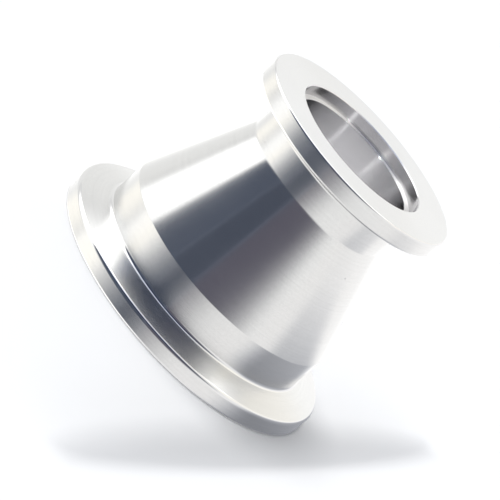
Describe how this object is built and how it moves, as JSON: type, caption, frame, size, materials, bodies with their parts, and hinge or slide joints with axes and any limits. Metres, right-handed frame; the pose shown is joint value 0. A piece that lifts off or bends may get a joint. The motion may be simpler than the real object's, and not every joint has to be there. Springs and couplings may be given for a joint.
{
  "type": "vacuum flange reducer",
  "caption": "Conical stainless steel reducer that joins a large clamped vacuum flange to a smaller flange, with recesses for centring rings and an open tapered bore.",
  "frame": {"origin": "centre of the large flange's sealing face", "axes": "+Z along the bore axis from the large flange to the small one; +X and +Y free, as the part is round"},
  "size_m": [0.055, 0.055, 0.04],
  "materials": {
    "stainless_steel": "bright fine-turned stainless steel, with sharp polished edges"
  },
  "bodies": {
    "root": {"reducer_body": "stainless_steel"}
  },
  "joints": []
}
